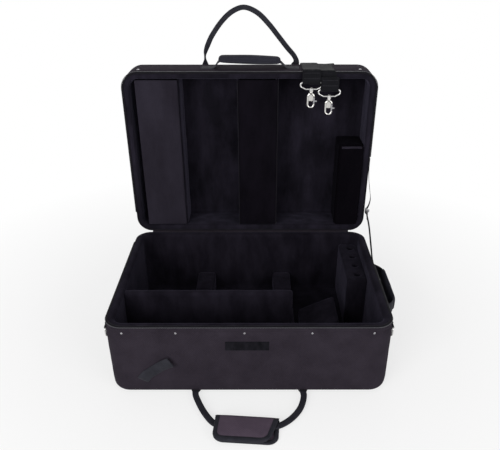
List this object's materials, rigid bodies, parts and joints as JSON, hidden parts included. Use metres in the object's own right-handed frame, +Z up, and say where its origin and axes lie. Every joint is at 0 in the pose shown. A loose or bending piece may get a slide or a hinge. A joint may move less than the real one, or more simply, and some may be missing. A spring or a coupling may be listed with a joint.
{
  "type": "trumpet case",
  "caption": "Soft-sided trumpet and flugelhorn case with a hinged lid, zip, web and padded handles, rings, strap, plush bays and covered lid compartments.",
  "frame": {"origin": "centre of the base's underside, on the floor", "axes": "+X along the case to its right end, +Y to the hinge at the back, +Z up; the lid stands open at a right angle"},
  "size_m": [0.5796, 0.6219, 0.6635],
  "materials": {
    "ballistic_nylon": "plain weave ballistic nylon, matt with a faint sheen",
    "polyester_webbing": "ribbed polyester webbing, matt",
    "plush_lining": "short pile plush, soft and lint-prone",
    "stiff_foam": "closed-cell stiff foam, hidden between the cover and the lining",
    "bound_edge": "grosgrain binding, fine ribs",
    "zip_coil": "moulded nylon coil",
    "zip_tape": "woven zip tape",
    "nickel_plate": "bright nickel plating",
    "steel_wire": "plated steel wire",
    "black_plastic": "moulded black acetal"
  },
  "bodies": {
    "base": {"base_foam_tray": "stiff_foam", "base_lining": "plush_lining", "base_rim_binding": "bound_edge", "base_zipper_tape": "zip_tape", "base_zipper_coil": "zip_coil", "base_side_cover": "ballistic_nylon", "base_bottom_panel": "ballistic_nylon", "base_handle_anchors": "polyester_webbing", "base_nails": "nickel_plate", "front_patch": "ballistic_nylon", "front_tab": "polyester_webbing", "center_divider": "plush_lining", "trumpet_saddles": "plush_lining", "flugelhorn_saddles": "plush_lining", "bell_rest": "plush_lining", "mouthpiece_block": "plush_lining", "left_ring_tab": "polyester_webbing", "right_ring_tab": "polyester_webbing", "hinge_piping": "bound_edge", "hinge_tape_base": "bound_edge", "zipper_end_base": "zip_tape", "zipper_slider": "nickel_plate", "end_handle_strap": "polyester_webbing", "end_handle_pad": "ballistic_nylon"},
    "lid": {"lid_foam_tray": "stiff_foam", "lid_side_cover": "ballistic_nylon", "lid_top_panel": "ballistic_nylon", "lid_lining": "plush_lining", "lid_rim_binding": "bound_edge", "lid_zipper_tape": "zip_tape", "lid_zipper_coil": "zip_coil", "lid_nails": "nickel_plate", "lid_handle_anchors": "polyester_webbing", "lid_handle_strap": "polyester_webbing", "lid_handle_pad": "ballistic_nylon", "hinge_tape_lid": "bound_edge", "zipper_end_lid": "zip_tape", "lid_partitions": "plush_lining", "accessory_box": "plush_lining", "strap_webbing": "polyester_webbing", "strap_pad": "ballistic_nylon", "strap_buckle": "black_plastic", "hook_frame_a": "steel_wire", "hook_frame_b": "steel_wire"},
    "base_handle": {"base_handle_web": "polyester_webbing", "base_handle_wrap": "ballistic_nylon"},
    "grip_flap": {"base_handle_flap": "ballistic_nylon"},
    "lid_handle": {"lid_handle_web": "polyester_webbing"},
    "left_ring": {"left_ring": "steel_wire"},
    "right_ring": {"right_ring": "steel_wire"},
    "hook_a": {"hook_a": "nickel_plate"},
    "gate_a": {"gate_a": "nickel_plate"},
    "hook_b": {"hook_b": "nickel_plate"},
    "gate_b": {"gate_b": "nickel_plate"},
    "left_cover": {"left_cover": "plush_lining"},
    "middle_cover": {"middle_cover": "plush_lining"},
    "accessory_box_lid": {"accessory_box_lid": "plush_lining"},
    "zipper_pull": {"zipper_pull": "nickel_plate"}
  },
  "joints": [
    {"name": "lid_hinge", "type": "hinge", "parent": "base", "child": "lid", "pos_m": [0, 0.1875, 0.164], "axis": [1, 0, 0], "range_deg": [0, 90], "deforming": ["strap_webbing", "zipper_end_lid"]},
    {"name": "base_handle_swing", "type": "hinge", "parent": "base", "child": "base_handle", "pos_m": [0, -0.193, 0.0065], "axis": [1, 0, 0], "range_deg": [-75, 0]},
    {"name": "grip_flap_open", "type": "hinge", "parent": "base_handle", "child": "grip_flap", "pos_m": [0, -0.26555, 0.0124], "axis": [-1, 0, 0], "range_deg": [0, 150]},
    {"name": "lid_handle_swing", "type": "hinge", "parent": "lid", "child": "lid_handle", "pos_m": [0, 0.2798, 0.5465], "axis": [1, 0, 0], "range_deg": [-60, 50]},
    {"name": "left_ring_swing", "type": "hinge", "parent": "base", "child": "left_ring", "pos_m": [-0.27355, -0.148, 0.13866], "axis": [0, 1, 0], "range_deg": [0, 110]},
    {"name": "right_ring_swing", "type": "hinge", "parent": "base", "child": "right_ring", "pos_m": [0.27355, -0.148, 0.13866], "axis": [0, -1, 0], "range_deg": [0, 110]},
    {"name": "left_cover_open", "type": "hinge", "parent": "lid", "child": "left_cover", "pos_m": [-0.152, 0.189, 0.3515], "axis": [0, 0, -1], "range_deg": [-100, 0]},
    {"name": "middle_cover_open", "type": "hinge", "parent": "lid", "child": "middle_cover", "pos_m": [0.062, 0.189, 0.3515], "axis": [0, 0, -1], "range_deg": [-100, 0]},
    {"name": "accessory_box_lid_open", "type": "hinge", "parent": "lid", "child": "accessory_box_lid", "pos_m": [0.2015, 0.1885, 0.2785], "axis": [0, 0, 1], "range_deg": [-100, 0]},
    {"name": "zipper_pull_swing", "type": "hinge", "parent": "base", "child": "zipper_pull", "pos_m": [0.2784, 0.19, 0.217], "axis": [0, -1, 0], "range_deg": [0, 120]},
    {"name": "hook_a_swivel", "type": "hinge", "parent": "lid", "child": "hook_a", "pos_m": [0.13, 0.18375, 0.5041], "axis": [0, 0, 1], "continuous": true},
    {"name": "gate_a_open", "type": "hinge", "parent": "hook_a", "child": "gate_a", "pos_m": [0.1365, 0.18375, 0.4784], "axis": [0, -1, 0], "range_deg": [0, 28], "stiffness_Nm_per_rad": 0.02, "springref_deg": -11.46},
    {"name": "hook_b_swivel", "type": "hinge", "parent": "lid", "child": "hook_b", "pos_m": [0.1686, 0.18375, 0.4891], "axis": [0, 0, 1], "continuous": true},
    {"name": "gate_b_open", "type": "hinge", "parent": "hook_b", "child": "gate_b", "pos_m": [0.1751, 0.18375, 0.4634], "axis": [0, -1, 0], "range_deg": [0, 28], "stiffness_Nm_per_rad": 0.02, "springref_deg": -11.46}
  ]
}
